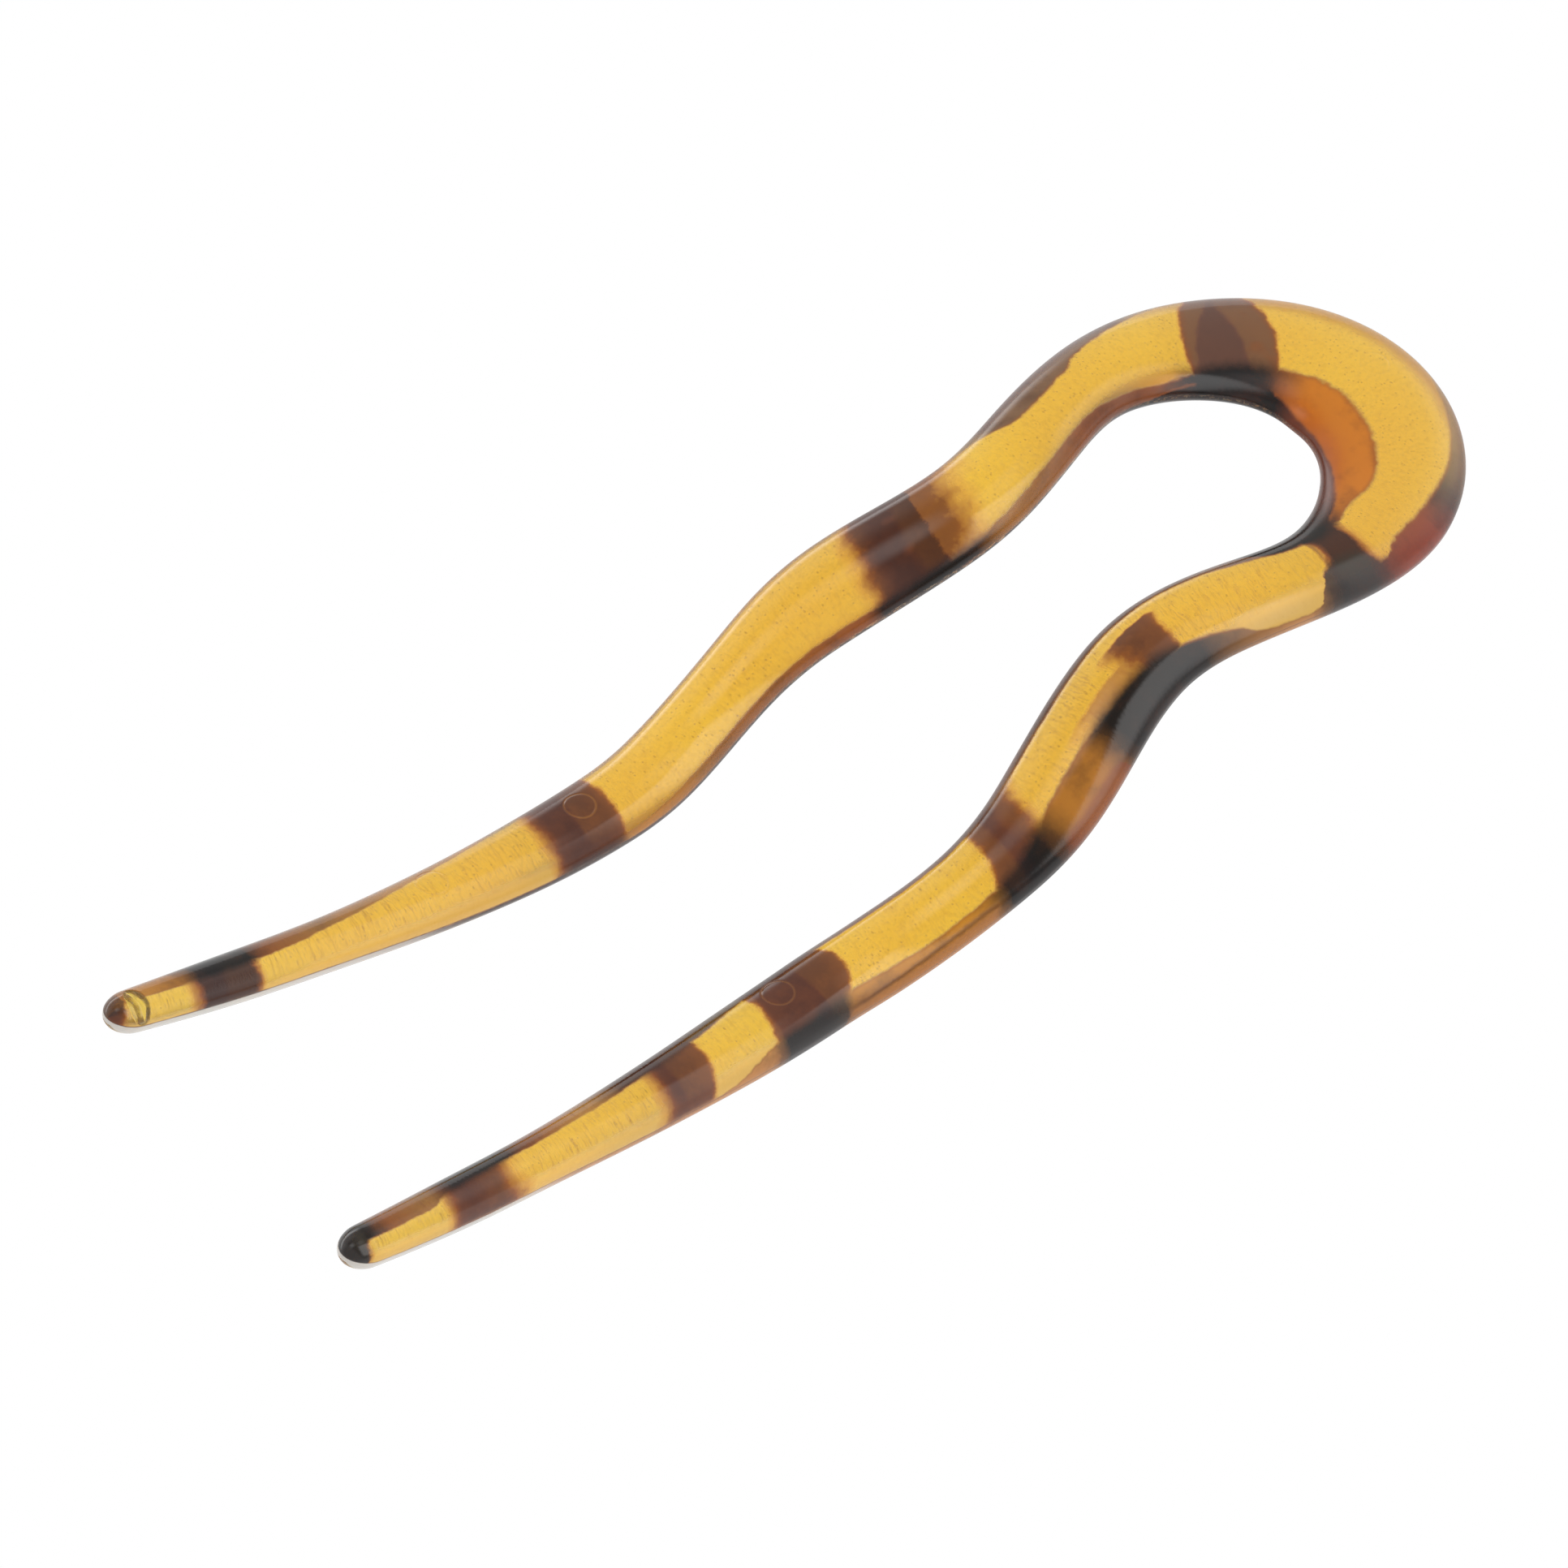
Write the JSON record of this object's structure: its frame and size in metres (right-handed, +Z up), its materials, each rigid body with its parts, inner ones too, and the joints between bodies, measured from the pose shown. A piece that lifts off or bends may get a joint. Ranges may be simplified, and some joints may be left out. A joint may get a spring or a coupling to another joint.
{
  "type": "french hair pin",
  "caption": "U-shaped hair pin with two waved, tapering legs and a broad flat bow, which holds a bun or twist of hair.",
  "frame": {"origin": "on the ground, below the middle of the pin's bounding box", "axes": "+X from the tips towards the bow, +Y across the legs, +Z up as the pin rests"},
  "size_m": [0.1242, 0.034, 0.0248],
  "materials": {
    "tortoiseshell": "polished clear amber plastic with dark brown tortoiseshell bands"
  },
  "bodies": {
    "root": {"hair_pin": "tortoiseshell"}
  },
  "joints": []
}
